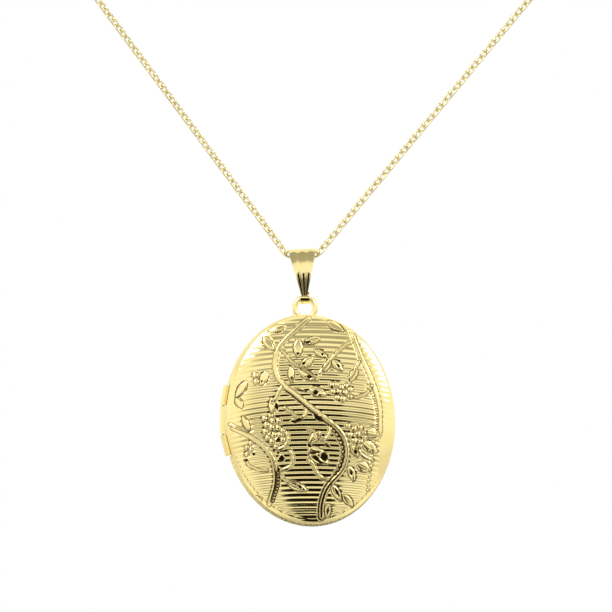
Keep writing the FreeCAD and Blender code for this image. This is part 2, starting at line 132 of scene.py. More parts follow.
# Brightness by height of the reflected ray: -1 straight down, 0 level, 1 straight up.
SKY_STOPS = (
    (-1.0, 0.55), (-0.76, 1.00), (-0.56, 0.80), (-0.42, 0.14), (-0.28, 0.22), (-0.15, 0.72),
    (0.02, 1.10), (0.20, 1.02), (0.38, 0.46), (0.62, 0.42), (0.82, 1.10), (1.0, 1.0),
)
SIDE_PANELS = (0.30, 0.60, 0.70)   # sideways reach where they start and are full, and how far they lift
STAND_X = -0.012                   # a dark stand under the camera
STAND_HALF_WIDTH = 0.16
STAND_TOP = -0.06
STAND_BOTTOM = -0.86
PANEL_COLOUR = (1.16, 1.13, 1.08)
STAND_COLOUR = (0.012, 0.008, 0.005)

FLOOR_Z = -125.0
FLOOR_HALF = 260.0
FLOOR_COLOUR = (0.86, 0.86, 0.85)
FLOOR_ROUGHNESS = 0.9

# Large soft panels: name, place, size and power in watts.
LIGHT_TARGET = (0, 0, -20)
LIGHT_PANELS = (
    ("left_panel", (-420, -420, 380), 300, 1.6),
    ("right_panel", (460, -300, 240), 260, 1.0),
    ("back_panel", (100, 480, 420), 320, 1.2),
)

GOLD = (0.98, 0.83, 0.385)
WORN_GOLD = (0.95, 0.79, 0.34)
CHAIN_GOLD = (0.84, 0.75, 0.44)
WORN_CHAIN_GOLD = (0.77, 0.68, 0.37)
# Painted shade for the relief: near-black and half-dark gold laid on its grooves, cut lines and hollows in
# place of their shade and dark reflections.
PAINTED_SHADE_COLOUR = (0.022, 0.013, 0.006)
WORN_PAINTED_SHADE = (0.055, 0.036, 0.014)
HALF_SHADE_COLOUR = (0.46, 0.37, 0.16)
WORN_HALF_SHADE = (0.54, 0.43, 0.19)
SHADE_STEPS = (0.30, 0.66)    # shares of painted shade above which a facet gets the half shade, then the full painted shade
SATIN_GOLD = (0.90, 0.77, 0.44)
WORN_SATIN_GOLD = (0.86, 0.71, 0.37)
PIN_COLOUR = (0.30, 0.17, 0.06)
WORN_PIN = (0.22, 0.12, 0.04)
STEEL = (0.62, 0.62, 0.63)
WORN_STEEL = (0.52, 0.51, 0.50)
CARD_COLOUR = (0.83, 0.80, 0.72)
PALE_CARD = (0.91, 0.89, 0.83)
CARD_ROUGHNESS = (0.62, 0.82)
CARD_FIBRE = 2600.0            # the higher, the finer
CARD_BUMP = 0.2
CARD_BUMP_REACH = 0.00003      # metres
WINDOW_COLOUR = (0.97, 0.98, 0.98)
WINDOW_ROUGHNESS = (0.02, 0.08)
WINDOW_SMEAR = 420.0
WINDOW_IOR = 1.49
METAL_CLOUD = 260.0
METAL_BUMP_REACH = 0.00002     # metres
FINE_GRAIN = 3000.0
SATIN_GRAIN = 5200.0
PIN_GRAIN = 4200.0
STEEL_GRAIN = 6000.0
SMOOTH_DETAIL = 4.0
FINE_DETAIL = 8.0
FIBRE_DETAIL = 6.0
NOISE_MIDDLE = (0.35, 0.65)    # most of a noise texture's values lie between these

# ---- the embossed design, u to the right and v up from the front cover's centre ------------

RIB_PITCH = 0.96
RIB_HEIGHT = 0.045
RIB_UPPER = 0.64               # share of that height in the upper half
RIB_LOWER = 1.28
RIB_ARCH = 0.0055              # the ribs bow upwards in the middle
VINE_HALF_WIDTH = 0.40
VINE_HEIGHT = 0.15
STEM_HALF_WIDTH = 0.24
STEM_HEIGHT = 0.12
LEAF_HEIGHT = 0.20
HOLLOW_LEAN = 0.28             # slope of the leaf hollows, which face down
EDGE = 0.12                    # width of the step at a raised edge
GROOVE = 0.05
CREASE = 0.035
CREASE_WIDTH = 0.11
BERRY_BASE = 0.08
BERRY_RISE = 0.17
HOLLOW_BASE = 0.04
RIB_RIM_FADE = (0.015, 0.06)   # shares of the oval in from the rim where the ribs fade in
RIB_OUTSIDE_FADE = (0.2, 0.6)  # how far past the right vine they fade out
RIB_OUTSIDE_LEFT = 0.2         # share that is left out there, high up
RIB_OUTSIDE_RISE = (-1.5, 2.5)  # heights between which that share comes in
RIB_DEEPEN = (-3.0, 1.0)       # depths below the centre between which the ribs deepen
RIB_ARCH_FOURTH = 0.00001
VINE_HOOK_POINTS = 6           # at the right vine's lower end, where it turns back
# Cut lines of painted shade beside a raised edge: distance out from it, and half width.
VINE_LINE = (0.06, 0.11)
SHADOW_LINE = (0.16, 0.24)
LEAF_LINE = (0.08, 0.14)
BERRY_LINE = (0.05, 0.13)
VINE_DIP = 0.28                # share of a vine's height lost along its middle
LEAF_EDGE_RISE = 0.35          # share of a leaf's height that its edge has
LEAF_FULLEST = 0.85            # below 1 the widest place is nearer the base
LEAF_BLUNT = 0.75              # below 1 the ends are blunter
LEAF_STEP = 0.84               # share of the half width where the edge starts to fall
LEAF_TIP = 0.001               # keeps the outline's formula off its ends
LEAF_LEAST_WIDTH = 0.02
LEAF_OVERRUN = 0.03            # share of its length by which a leaf's dark line runs past its ends
BERRY_STEP = 0.86
HOLLOW_STEP = 0.75
RIM_LINE_ANGLES = ((-162, -150), (-52, -40))   # degrees where the border comes in and goes out
RIM_LINE_SHARE = 0.950
RIM_LINE_WIDTH = 0.005
RIM_LINE_DEPTH = 0.07
# share of painted shade in the border's cut line
RIM_LINE_SHADE = 0.35
RIM_FADE = 0.02                # share of the oval over which the relief starts
# How far out from a mark its own points are looked for.
BAND_MARGIN = 0.5
LEAF_MARGIN = 0.4
BERRY_MARGIN = 0.3
HOLLOW_MARGIN = 0.1
# Shares of painted shade in the relief's cut lines and hollows.
LEAF_SHADE = 0.85              # share of painted shade in the line round a leaf
BERRY_SHADE = 0.75
VINE_SHADE = 0.72
PAINTED_SHADOW = 0.97            # painted shadow in the deep cut along the lower side of a vine
HOLLOW_SHADE = 0.90
FRINGE_STEPS = 12              # points of the curve between two of a fringe's own
POINTED = 1.25                 # 1 gives a diamond, 2 an oval
SHADOW_BELOW = 7.0             # the main vine's deep cut and its painted shadow start below this height
SHADOW_FADE = 2.0              # and takes this long to reach its full depth

MAIN_VINE = (
    (-0.3, 19.4), (-2, 17.9), (-3.8, 16.3), (-5.1, 15), (-6.1, 13.7), (-6.6, 12.1), (-6.8, 10.6),
    (-6.6, 9.2), (-6.1, 7.9), (-4.7, 6.3), (-3.4, 5.3), (-1.7, 3.9), (-0.3, 2.7), (1.1, 1.6),
    (2.4, 0.6), (3.8, -0.5), (5.1, -1.6), (6.2, -3), (6.8, -4.6), (7, -6.3), (6.7, -8.1), (6, -9.8),
    (4.7, -11.3), (3.5, -12.7), (2.8, -14), (2.3, -15.6), (2.1, -17.1), (2.1, -18.7),
)
RIGHT_VINE = (
    (7.8, 17.1), (8.4, 15.2), (9, 13.7), (9.7, 11.9), (10.4, 10.4), (11.2, 8.7), (11.8, 7.1),
    (12.4, 5.6), (12.9, 4), (13.2, 2.3), (13.3, 0.6), (13.3, -1.2), (13.2, -2.7), (12.6, -3.5),
    (11.2, -3.4),
)
LEFT_VINE = (
    (-14.9, -1.7), (-13.4, -2.3), (-12, -3), (-10.7, -3.8), (-9.3, -4.8), (-8.2, -6), (-7.3, -7.3),
    (-6.9, -8.8), (-6.7, -10.4), (-6.7, -11.9), (-7, -13.5), (-7.5, -15), (-7.9, -16.3),
)
STEMS = (
    ((-5.7, 13.5), (-4.7, 12.5), (-3.8, 11.3), (-2.6, 10.4), (-1.2, 9.6), (0.1, 8.8), (1.2, 7.7)),
    ((-5.5, 6.3), (-6.1, 5.4), (-6.6, 4.2), (-7.2, 3.3)),
    ((8.2, 15), (6.8, 14.4), (5.7, 13.5), (4.7, 12.5), (3.8, 11.5), (2.8, 10.4), (1.8, 9)),
    ((9.5, 11.5), (8.8, 10.2), (8.2, 9), (7.4, 7.9)),
    ((11.8, 6.5), (11.2, 5.6), (10.3, 4.8), (9.1, 4.4), (7.8, 4.4)),
    ((-0.9, 2.3), (-0.9, 1.3), (-1.4, 0.6), (-2.6, 0.6), (-3.8, 1.5), (-4.9, 2.3)),
    ((3.8, -1.2), (3.6, -2.5), (3, -3.5), (2.2, -3.8), (1.4, -3.3), (0.7, -2.3), (-0.3, -1.9)),
    ((3.9, -11.7), (2.4, -11.2), (1.2, -10), (0.5, -8.5), (-0.3, -7.7)),
    ((-6.4, -10.2), (-5.3, -11.2), (-4.1, -11.9), (-2.8, -12.5)),
    ((-12.4, -7.7), (-11.8, -8.7), (-10.9, -9.2), (-9.7, -9.6), (-8.2, -9.6)),
    ((-6.1, -5.6), (-4.9, -5), (-4.3, -3.8), (-4.5, -2.5)),
    ((-3.9, -6), (-3.4, -7.1), (-3.6, -8.5), (-4.5, -9.2), (-5.9, -9.8)),
    ((-15.5, -1), (-13.6, -1.7), (-12, -2.3)),
    ((11.8, -7.7), (10.7, -7.3), (9.7, -6.5), (8.9, -5.4)),
)
# Base u and v, tip u and v, half width.
LEAVES = (
    (-9.1, 15.8, -7, 13.3, 0.77), (-4.9, 17.9, -8.2, 16.9, 0.77), (1.8, 15.6, -1.4, 14.6, 0.67),
    (-2.4, 15.4, -2.4, 11.9, 0.87), (0.5, 11.9, -2, 10, 0.77), (0.7, 13.3, 3.2, 11.9, 0.58),
    (3.8, 11.3, 2.4, 9.2, 0.58), (4.1, 11.3, 6.2, 9.4, 0.67), (-2, 9.2, 0.9, 7.7, 0.77),
    (-3.8, 10.2, -3.6, 7.1, 0.58), (-0.1, 5.8, 3, 4.8, 0.87), (8.8, 9.8, 7.6, 7.3, 0.67),
    (-7.4, 4.2, -7.4, 1.2, 0.58), (-12.2, 7.3, -14.3, 4.2, 0.77), (-14.3, 4.2, -13, 2.1, 0.67),
    (-8.4, 9.2, -9.5, 6.5, 0.77), (-13, 0.6, -11.6, -2.3, 0.58), (-4.3, -12.1, -0.7, -13.5, 0.77),
    (-0.3, -5.4, 3.4, -8.5, 1.35), (1.8, -2.3, -0.3, -4.4, 0.77), (4.1, -12.5, 5.9, -15.6, 0.67),
    (3.4, -16.2, 3.2, -18.8, 0.58), (8, -5, 9.1, -7.1, 0.67), (7.4, -9, 8.4, -11.7, 0.67),
    (10.3, -2.1, 13.2, -2.9, 0.96), (9.9, -4.2, 12.8, -6.3, 0.96), (8.9, -8.3, 11.4, -9.8, 0.96),
    (6.2, -14.4, 8.2, -16.7, 0.67), (3.2, 18.8, 6.4, 16.9, 0.77), (-11.2, -15, -9.3, -15.6, 0.58),
)
# Centre u and v, half width, half height, turn in degrees.
HOLLOWS = (
    (-0.6, 14.8, 0.96, 0.33, 0), (-2.4, 12.6, 0.38, 0.35, 0), (-1.3, 10.8, 0.62, 0.42, 50),
    (-0.2, 8.2, 0.77, 0.5, 0), (1, 5.2, 0.65, 0.65, 0), (-1.8, 5.6, 1.54, 0.23, -14),
    (-2.2, 0, 0.77, 0.5, 0), (-6.4, 2.5, 0.35, 1.06, 0), (-3.6, 7.9, 0.23, 0.58, 0),
    (5.3, 10.3, 0.58, 0.33, -35), (2.3, 12.5, 0.46, 0.35, 0), (-9.3, 7.3, 0.35, 0.25, -40),
    (4.1, 6.2, 0.38, 0.33, 0), (4.9, 5, 0.5, 0.27, 0), (6.2, 5, 0.31, 0.19, 0),
    (5.5, 3.7, 0.27, 0.38, -30), (7.4, -2.2, 0.33, 0.31, 0), (8.2, -3.4, 0.4, 0.31, 0),
    (9.7, -3.4, 0.25, 0.31, 0), (8.9, -4.6, 0.31, 0.25, 0), (8.6, -6.2, 0.44, 0.62, 30),
    (7.8, -10.2, 0.37, 0.81, 15), (5.1, -14, 0.33, 1.35, 28), (3.3, -17.5, 0.31, 1.06, -8),
    (-12.6, -6.2, 0.35, 0.25, 0), (-10.9, -6.6, 0.38, 0.37, 0), (-12.3, -7.8, 0.37, 0.38, 0),
    (-6.2, -3.8, 0.5, 0.46, 0), (-6.7, -0.2, 0.25, 0.33, 0), (-8.2, 0, 0.25, 0.25, 0),
    (-7.5, -2.6, 0.23, 0.31, 0), (-5.6, -1.2, 0.23, 0.31, 0), (-4.5, -1.9, 0.19, 0.38, 0),
    (-7, -5.8, 0.38, 0.25, 0), (-6.2, -6.3, 0.38, 0.38, 0), (2.6, -7.1, 0.96, 1.15, 20),
    (0.7, -6.3, 1.54, 0.35, 5), (-2, -12.9, 0.58, 0.35, -40), (1.5, 0.3, 1.5, 0.55, -38),
    (-3, -0.3, 1.1, 0.42, 0), (-5.5, -7.4, 0.7, 0.85, 0), (-6.1, -9.5, 0.35, 0.7, 10),
    (3.2, -4.9, 0.9, 0.35, -40), (-0.2, -4.9, 0.6, 0.4, -30),
)
# Centre u and v, radius.
BERRIES = (
    (-10.6, 8.5, 0.56), (-10.4, 7.3, 0.52), (4.1, 6.7, 0.46), (5.1, 6.7, 0.46), (6, 6.2, 0.48),
    (6.8, 6.5, 0.44), (4.3, 5.4, 0.44), (5.5, 5.4, 0.48), (6.6, 5.2, 0.46), (5.1, 4.2, 0.44),
    (6.2, 4, 0.5), (7.6, 4.4, 0.44), (7.6, 5.8, 0.46), (-8.8, 0.2, 0.5), (-7.6, 0.8, 0.46),
    (-8.4, -1, 0.54), (-7.2, -0.2, 0.52), (-6.1, -0.2, 0.48), (-8.6, -2.3, 0.52),
    (-7.4, -1.5, 0.54), (-6.2, -1.5, 0.52), (-5.3, -2.1, 0.46), (-8.2, -3.5, 0.46),
    (-7, -2.9, 0.54), (-5.9, -2.9, 0.5), (-7.4, -4.2, 0.48), (-5.3, -3.8, 0.48),
    (-6.6, -5.2, 0.44), (-12.2, -5.4, 0.42), (-11.4, -4.6, 0.4), (-11.4, -5.8, 0.44),
    (-12.2, -6.7, 0.42), (7.2, -1.2, 0.44), (8.4, -1.7, 0.48), (9.5, -1.5, 0.46),
    (7.6, -2.9, 0.44), (9.1, -2.7, 0.5), (10.3, -2.5, 0.44), (8.4, -4, 0.46), (9.7, -4.2, 0.44),
    (8.8, -5.4, 0.4),
)
# Beaded edges: points, spacing, bead radius, share of painted shade between the beads.
FRINGES = (
    (
        ((10.9, 6.3), (11.6, 5.4), (12.2, 4), (12.6, 2.5), (12.8, 0.8), (12.8, -1), (12.7, -2.5)),
        0.5, 0.24, 0.4,
    ),
    (
        ((4.5, -2.1), (5.4, -3.5), (6, -4.8), (6.2, -6.3), (5.9, -8.1), (5.3, -9.4), (4.3, -10.8)),
        0.9, 0.28, 1,
    ),
    (
        ((-6.2, -10.2), (-6.2, -11.7), (-6.4, -13.3), (-6.9, -14.6), (-7.4, -16.2)),
        0.62, 0.27, 1,
    ),
    (
        ((12, -4.2), (11.6, -6), (11.8, -7.9), (11.4, -9.4), (11.2, -11), (11, -12.5), (10.9, -14)),
        0.95, 0.26, 0.5,
    ),
)
# Where the ribs fade: centre u and v, reach in u and v, share taken away.
QUIET_PLACES = (
    (-9.8, -13.0, 3.2, 3.6, 0.45), (-14.6, -2.0, 2.6, 6.0, 0.85), (-10.8, 11.6, 3.2, 2.0, 0.6),
    (14.6, -8.0, 2.4, 9.0, 1.0), (3.0, 20.5, 9.0, 1.6, 0.6), (-13.0, 12.0, 2.0, 6.0, 0.7),
)


# ---- camera, sky, floor and light -----------------------------------------------------------

def place(x, y, z):
    return Vector((x, y, z)) * MM


def aimed(name, data, location, target):
    """An object looking at target, down its own -Z."""
    made = bpy.data.objects.new(name, data)
    bpy.context.collection.objects.link(made)
    made.location = location
    made.rotation_euler = (target - location).to_track_quat("-Z", "Y").to_euler()
    return made


def make_camera():
    data = bpy.data.cameras.new("camera")
    data.lens = LENS
    data.sensor_width = SENSOR
    data.clip_start, data.clip_end = CLIP_NEAR, CLIP_FAR
    distance = VIEW_WIDTH * LENS / SENSOR
    target = place(VIEW_CENTRE[0], 0, VIEW_CENTRE[1])
    camera = aimed("camera", data, target - Vector((0, distance * MM, 0)), target)
    bpy.context.scene.camera = camera


def make_world():
    """White to the camera. Metal sees a studio: bright above, dimmer below, a dark stand in front."""
    world = bpy.data.worlds.new("studio")
    bpy.context.scene.world = world
    world.use_nodes = True
    tree = world.node_tree
    tree.nodes.clear()
    node = tree.nodes.new
    link = tree.links.new

    def math_node(operation, first, second=None):
        made = node("ShaderNodeMath")
        made.operation = operation
        for socket, value in zip(made.inputs, (first, second)):
            if value is None:
                continue
            if isinstance(value, (int, float)):
                socket.default_value = value
            else:
                link(value, socket)
        return made.outputs[0]

    coordinates = node("ShaderNodeTexCoord")
    split = node("ShaderNodeSeparateXYZ")
    link(coordinates.outputs["Generated"], split.inputs[0])
    x, y, z = split.outputs
    height = node("ShaderNodeValToRGB")
    link(math_node("ADD", math_node("MULTIPLY", z, 0.5), 0.5), height.inputs[0])
    ramp = height.color_ramp
    ramp.interpolation = "EASE"
    while len(ramp.elements) < len(SKY_STOPS):
        ramp.elements.new(0.5)
    for element, (level, brightness) in zip(ramp.elements, SKY_STOPS):
        element.position = level / 2 + 0.5
        element.color = (brightness, brightness, brightness, 1)
    panels = node("ShaderNodeMapRange")
    panels.interpolation_type = "SMOOTHSTEP"
    link(math_node("ABSOLUTE", x), panels.inputs["Value"])
    for socket, value in zip(("From Min", "From Max", "To Max"), SIDE_PANELS):
        panels.inputs[socket].default_value = value
    lifted = node("ShaderNodeMix")
    lifted.data_type = "RGBA"
    link(panels.outputs[0], lifted.inputs["Factor"])
    link(height.outputs[0], lifted.inputs["A"])
    lifted.inputs["B"].default_value = (*PANEL_COLOUR, 1)

    sideways = math_node("ABSOLUTE", math_node("SUBTRACT", x, STAND_X))
    across = math_node("GREATER_THAN", STAND_HALF_WIDTH, sideways)
    ahead = math_node("LESS_THAN", y, 0.0)
    under = math_node("LESS_THAN", z, STAND_TOP)
    over = math_node("GREATER_THAN", z, STAND_BOTTOM)
    beside_and_ahead = math_node("MULTIPLY", across, ahead)
    stand = math_node("MULTIPLY", beside_and_ahead, math_node("MULTIPLY", under, over))

    scenery = node("ShaderNodeMix")
    scenery.data_type = "RGBA"
    link(stand, scenery.inputs["Factor"])
    link(lifted.outputs["Result"], scenery.inputs["A"])
    scenery.inputs["B"].default_value = (*STAND_COLOUR, 1)
    seen = node("ShaderNodeBackground")
    link(scenery.outputs["Result"], seen.inputs["Color"])
    seen.inputs["Strength"].default_value = 1.0
    plain = node("ShaderNodeBackground")
    plain.inputs["Color"].default_value = (1, 1, 1, 1)
    ray = node("ShaderNodeLightPath")
    pick = node("ShaderNodeMixShader")
    link(ray.outputs["Is Camera Ray"], pick.inputs[0])
    link(seen.outputs[0], pick.inputs[1])
    link(plain.outputs[0], pick.inputs[2])
    output = node("ShaderNodeOutputWorld")
    link(pick.outputs[0], output.inputs[0])


def make_floor():
    mesh = bpy.data.meshes.new("floor")
    corners = [(-1, -1), (1, -1), (1, 1), (-1, 1)]
    points = [place(x * FLOOR_HALF, y * FLOOR_HALF, FLOOR_Z) for x, y in corners]
    mesh.from_pydata(points, [], [(0, 1, 2, 3)])
    floor = bpy.data.objects.new("floor", mesh)
    bpy.context.collection.objects.link(floor)
    floor.visible_glossy = False
    material = bpy.data.materials.new("pale_floor")
    material.use_nodes = True
    shader = material.node_tree.nodes["Principled BSDF"]
    shader.inputs["Base Color"].default_value = (*FLOOR_COLOUR, 1)
    shader.inputs["Roughness"].default_value = FLOOR_ROUGHNESS
    mesh.materials.append(material)


def make_lights():
    """Soft panels above, one at each side and one behind."""
    target = place(*LIGHT_TARGET)
    for name, spot, size, power in LIGHT_PANELS:
        data = bpy.data.lights.new(name, "AREA")
        data.size = size * MM
        data.energy = power
        aimed(name, data, place(*spot), target)


# ---- materials ---------------------------------------------------------------------------------

def new_material(name):
    material = bpy.data.materials.new(name)
    material.use_nodes = True
    nodes = material.node_tree.nodes
    return material, nodes, material.node_tree.links, nodes["Principled BSDF"]


def noise(nodes, links, coordinates, scale, detail=SMOOTH_DETAIL):
    made = nodes.new("ShaderNodeTexNoise")
    made.inputs["Scale"].default_value = scale
    made.inputs["Detail"].default_value = detail
    links.new(coordinates, made.inputs["Vector"])
    return made.outputs[0]


def blend_colour(nodes, links, factor, first, second):
    mix = nodes.new("ShaderNodeMix")
    mix.data_type = "RGBA"
    links.new(factor, mix.inputs["Factor"])
    for socket, colour in (("A", first), ("B", second)):
        if isinstance(colour, tuple):
            mix.inputs[socket].default_value = (*colour, 1)
        else:
            links.new(colour, mix.inputs[socket])
    return mix.outputs["Result"]


def spread(nodes, links, value, low, high):
    """Map a noise value onto low to high."""
    made = nodes.new("ShaderNodeMapRange")
    limits = (("From Min", NOISE_MIDDLE[0]), ("From Max", NOISE_MIDDLE[1]), ("To Min", low), ("To Max", high))
    for socket, limit in limits:
        made.inputs[socket].default_value = limit
    links.new(value, made.inputs["Value"])
    return made.outputs[0]


def roughen(nodes, links, shader, height, strength, reach):
    """Let a pattern show as a faint unevenness of the skin."""
    skin = nodes.new("ShaderNodeBump")
    skin.inputs["Strength"].default_value = strength
    skin.inputs["Distance"].default_value = reach
    links.new(height, skin.inputs["Height"])
    links.new(skin.outputs[0], shader.inputs["Normal"])


def metal(name, colour, worn_colour, roughness, grain, bump):
    """Plated metal: cloudy colour, fine wear in the gloss, and a faint skin texture."""
    material, nodes, links, shader = new_material(name)
    coordinates = nodes.new("ShaderNodeTexCoord").outputs["Object"]
    cloud = noise(nodes, links, coordinates, METAL_CLOUD)
    scratch = noise(nodes, links, coordinates, grain, FINE_DETAIL)
    base = blend_colour(nodes, links, spread(nodes, links, cloud, 0.0, 1.0), colour, worn_colour)
    links.new(base, shader.inputs["Base Color"])
    shader.inputs["Metallic"].default_value = 1.0
    links.new(spread(nodes, links, scratch, *roughness), shader.inputs["Roughness"])
    roughen(nodes, links, shader, scratch, bump, METAL_BUMP_REACH)
    return material


def card_material():
    material, nodes, links, shader = new_material("card_paper")
    coordinates = nodes.new("ShaderNodeTexCoord").outputs["Object"]
    fibre = noise(nodes, links, coordinates, CARD_FIBRE, FIBRE_DETAIL)
    colour = blend_colour(nodes, links, spread(nodes, links, fibre, 0.0, 1.0), CARD_COLOUR, PALE_CARD)
    links.new(colour, shader.inputs["Base Color"])
    links.new(spread(nodes, links, fibre, *CARD_ROUGHNESS), shader.inputs["Roughness"])
    roughen(nodes, links, shader, fibre, CARD_BUMP, CARD_BUMP_REACH)
    return material


def window_material():
    material, nodes, links, shader = new_material("window_clear")
    coordinates = nodes.new("ShaderNodeTexCoord").outputs["Object"]
    smear = noise(nodes, links, coordinates, WINDOW_SMEAR, FIBRE_DETAIL)
    links.new(spread(nodes, links, smear, *WINDOW_ROUGHNESS), shader.inputs["Roughness"])
    shader.inputs["Base Color"].default_value = (*WINDOW_COLOUR, 1)
    shader.inputs["Transmission Weight"].default_value = 1.0
    shader.inputs["IOR"].default_value = WINDOW_IOR
    return material


# Material: its name, colour, worn colour, least and most roughness, grain and bump.
METALS = {
    "polished_gold": ("gold_polished", GOLD, WORN_GOLD, (0.05, 0.11), FINE_GRAIN, 0.05),
    # These two golds carry the relief's painted shade: half shade, then full painted shade.
    "half_shaded_gold": ("gold_half_shaded", HALF_SHADE_COLOUR, WORN_HALF_SHADE, (0.22, 0.36), FINE_GRAIN, 0.10),
    "painted_shade_gold": ("gold_painted_shade", PAINTED_SHADE_COLOUR, WORN_PAINTED_SHADE, (0.30, 0.45), FINE_GRAIN, 0.10),
    "chain_gold": ("gold_chain", CHAIN_GOLD, WORN_CHAIN_GOLD, (0.08, 0.16), FINE_GRAIN, 0.05),
    "satin_gold": ("gold_satin", SATIN_GOLD, WORN_SATIN_GOLD, (0.26, 0.40), SATIN_GRAIN, 0.25),
    "hinge_pin_gold": ("gold_wire", PIN_COLOUR, WORN_PIN, (0.16, 0.28), PIN_GRAIN, 0.12),
    "spring_steel": ("steel_wire", STEEL, WORN_STEEL, (0.20, 0.34), STEEL_GRAIN, 0.12),
}


def make_materials():
    made = {slot: metal(*values) for slot, values in METALS.items()}
    made["clear_window"] = window_material()
    made["blank_card"] = card_material()
    return made


# ---- mesh helpers -------------------------------------------------------------------------------

def piece(name, points, faces, material, body, sharp_loops=()):
    """A smooth-shaded mesh piece in millimetres that rides on a body, when one is named."""
    mesh = bpy.data.meshes.new(name)
    mesh.from_pydata((np.asarray(points, dtype=float) * MM).tolist(), [], faces)
    mesh.materials.append(material)
    mesh.polygons.foreach_set("use_smooth", [True] * len(mesh.polygons))
    if sharp_loops:
        sharp = set()
        for loop in sharp_loops:
            sharp.update(frozenset(pair) for pair in zip(loop, [*loop[1:], loop[0]]))
        for edge in mesh.edges:
            if frozenset(edge.vertices) in sharp:
                edge.use_edge_sharp = True
    mesh.update()
    made = bpy.data.objects.new(name, mesh)
    bpy.context.collection.objects.link(made)
    if body:
        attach(made, body)
    return made


def smooth(value, low, high):
    share = np.clip((value - low) / (high - low), 0.0, 1.0)
    return share * share * (3.0 - 2.0 * share)


def curved(points, per_span=5):
    """A Catmull-Rom curve through the points."""
    knots = np.array([points[0], *points, points[-1]], dtype=float)
    made = []
    for before, start, end, after in zip(knots, knots[1:], knots[2:], knots[3:]):
        for step in range(per_span):
            t = step / per_span
            made.append(0.5 * (
                2 * start + (end - before) * t + (2 * before - 5 * start + 4 * end - after) * t * t
                + (3 * start - before - 3 * end + after) * t ** 3
            ))
    made.append(knots[-1])
    return np.array(made)


# ---- the locket's halves ------------------------------------------------------------------------

def dome_depth(share, band, depth):
    return band + (depth - band) * (1.0 - np.clip(share, 0, 1) ** DOME_POWER) ** DOME_SHOULDER


def oval_share(oval, x, z):
    """How far out a point lies, as a share of the oval."""
    dx, dz = x - oval[0], z - oval[1]
    across = dx * math.cos(OVAL_TILT) + dz * math.sin(OVAL_TILT)
    along = -dx * math.sin(OVAL_TILT) + dz * math.cos(OVAL_TILT)
    return np.sqrt((across / oval[2]) ** 2 + (along / oval[3]) ** 2)


def left_edge(oval, z):
    """The oval's leftmost x at height z."""
    dz = z - oval[1]
    cosine, sine = math.cos(OVAL_TILT), math.sin(OVAL_TILT)
    a = (cosine / oval[2]) ** 2 + (sine / oval[3]) ** 2
    b = 2 * dz * sine * cosine * (1 / oval[2] ** 2 - 1 / oval[3] ** 2)
    c = (dz * sine / oval[2]) ** 2 + (dz * cosine / oval[3]) ** 2 - 1
    return oval[0] + (-b - np.sqrt(np.clip(b * b - 4 * a * c, 0, None))) / (2 * a)


def oval_grid(oval, cells):
    """Points of a square grid laid over the oval, making room for the hinge notch."""
    line = np.linspace(-1, 1, cells + 1)
    s, t = np.meshgrid(line, line)
    across = oval[2] * s * np.sqrt(1 - t * t / 2)
    along = oval[3] * t * np.sqrt(1 - s * s / 2)
    x = oval[0] + across * math.cos(OVAL_TILT) - along * math.sin(OVAL_TILT)
    z = oval[1] + across * math.sin(OVAL_TILT) + along * math.cos(OVAL_TILT)
    heights, edges = zip(*NOTCH_EDGE)
    edge = left_edge(oval, z)
    shift = np.clip(np.interp(z, heights, edges) - edge, 0, None)
    shift[(z < heights[0]) | (z > heights[-1])] = 0.0
    x = x + shift * np.clip(1 - (x - edge) / NOTCH_FADE, 0, 1)
    return x, z


def grid_rim(cells):
    """Indices round a square grid's rim, anticlockwise as the grid is drawn."""
    side = cells + 1
    bottom = list(range(0, cells))
    right = [row * side + cells for row in range(0, cells)]
    top = [cells * side + column for column in range(cells, 0, -1)]
    left = [row * side for row in range(cells, 0, -1)]
    return bottom + right + top + left


def half_cover(name, oval, side, band, dome_wall, cells, relief=None):
    """One half: outer skin, rim wall, lip and a plain inner skin, as one closed mesh."""
    x, z = oval_grid(oval, cells)
    x, z = x.ravel(), z.ravel()
    depth = dome_depth(oval_share(oval, x, z), band, HALF_DEPTH)
    painted_shade = np.zeros_like(depth)
    if relief is not None:
        height, painted_shade = relief(oval, x, z)
        depth = depth + height
    points = [np.column_stack([x, PARTING_Y + side * depth, z])]
    wide = cells + 1
    faces = []
    for row in range(cells):
        for column in range(cells):
            corner = row * wide + column
            faces.append((corner, corner + 1, corner + wide + 1, corner + wide))
    rim = grid_rim(cells)
    count = wide * wide
    inner = (oval[2] - RIM_WALL) / oval[2]
    rings = [(1.0, HALF_GAP), (inner, HALF_GAP)]
    for share in INNER_RINGS:
        rings.append((inner * share, float(dome_depth(share, band, HALF_DEPTH - dome_wall))))
    loops = [rim]
    for scale, ring_depth in rings:
        ring_x = oval[0] + (x[rim] - oval[0]) * scale
        ring_z = oval[1] + (z[rim] - oval[1]) * scale
        ring_y = np.full(len(rim), PARTING_Y + side * ring_depth)
        points.append(np.column_stack([ring_x, ring_y, ring_z]))
        loops.append(list(range(count, count + len(rim))))
        count += len(rim)
    for outer, inward in zip(loops, loops[1:]):
        for k in range(len(rim)):
            after = (k + 1) % len(rim)
            faces.append((outer[k], inward[k], inward[after], outer[after]))
    points.append(np.array([[oval[0], PARTING_Y + side * (HALF_DEPTH - dome_wall), oval[1]]]))
    for k in range(len(rim)):
        faces.append((loops[-1][k], count, loops[-1][(k + 1) % len(rim)]))
    if side == BACK:
        faces = [face[::-1] for face in faces]
    body = "locket_front" if side == FRONT else "locket_back"
    points = np.concatenate(points)
    gold = MATERIALS["polished_gold"]
    made = piece(name, points, faces, gold, body, [loops[1], loops[2], loops[3]])
    if relief is not None:
        # The relief's faces get plain gold, the half shade or the full painted shade, by the painted shade at
        # their corners.
        made.data.materials.append(MATERIALS["half_shaded_gold"])
        made.data.materials.append(MATERIALS["painted_shade_gold"])
        shade_share = painted_shade[np.array(faces[:cells * cells])].mean(axis=1)
        shade_level = np.zeros(len(faces), dtype=int)
        shade_level[:cells * cells] = np.digitize(shade_share, SHADE_STEPS)
        made.data.polygons.foreach_set("material_index", shade_level)
    return made


